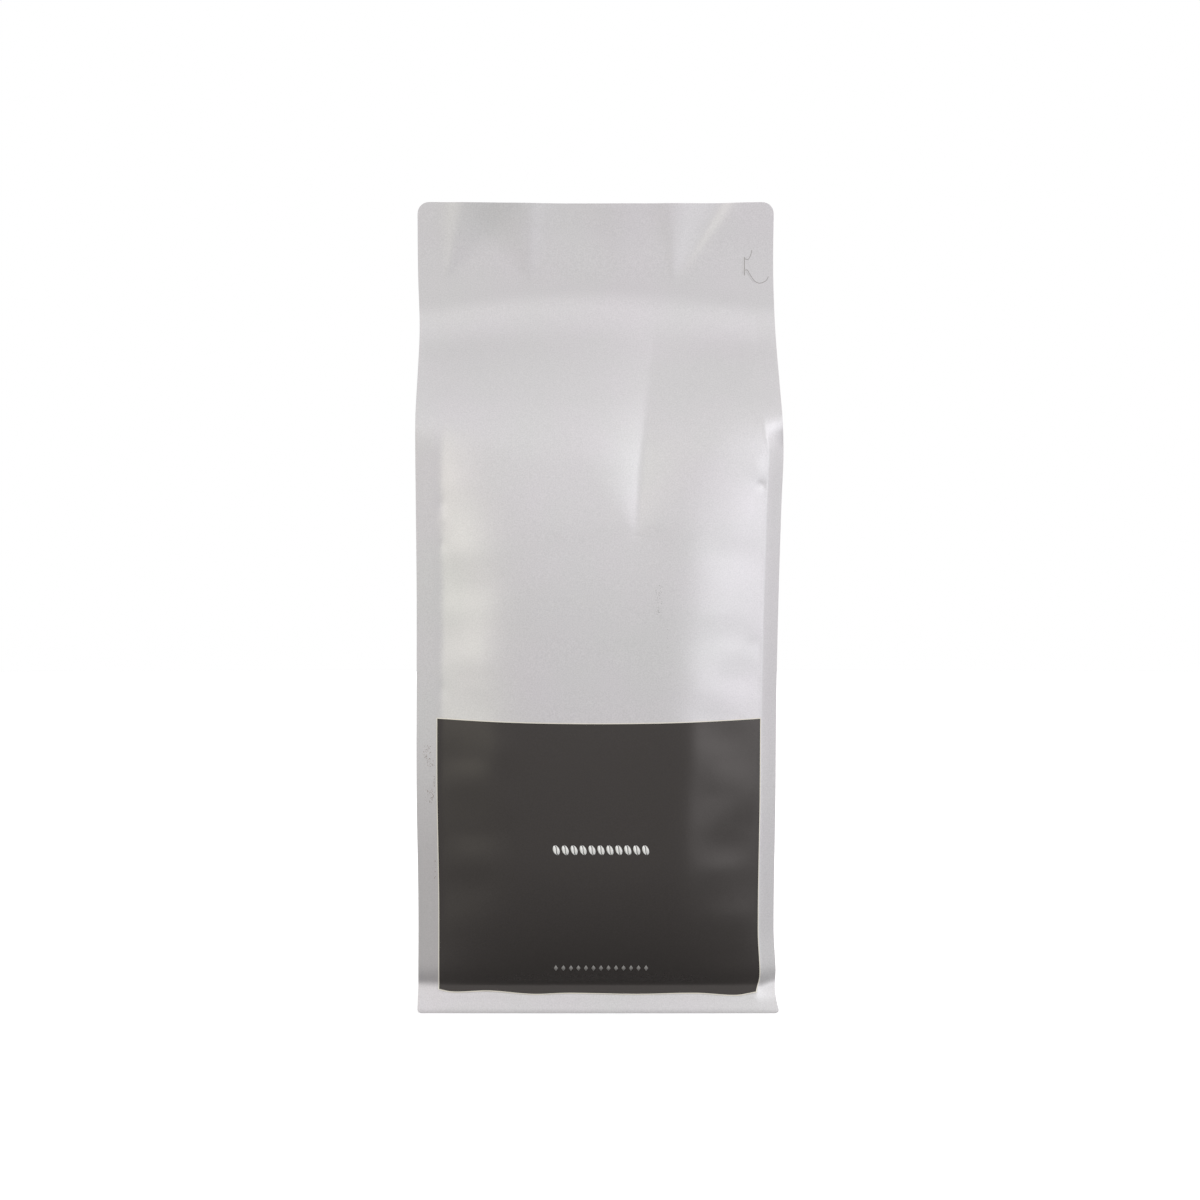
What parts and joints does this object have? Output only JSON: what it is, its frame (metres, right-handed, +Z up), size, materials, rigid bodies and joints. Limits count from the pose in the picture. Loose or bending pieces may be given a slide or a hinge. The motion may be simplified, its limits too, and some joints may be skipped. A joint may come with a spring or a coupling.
{
  "type": "coffee bag",
  "caption": "Filled flat-bottomed coffee pouch of matte silver film: sloping head, side gussets, welded seams, sealed top with a die-cut tear tab, and a dark paper label low on the front.",
  "frame": {"origin": "middle of the bag's footprint, on the surface that it stands on", "axes": "+Z up the bag, -Y out of the front that carries the label, +X to the right in the picture"},
  "size_m": [0.1529, 0.1032, 0.3359],
  "materials": {
    "pouch": "matte silver metallised film laminate",
    "label": "charcoal satin-coated label paper"
  },
  "bodies": {
    "root": {"pouch": "pouch", "label": "label"}
  },
  "joints": []
}
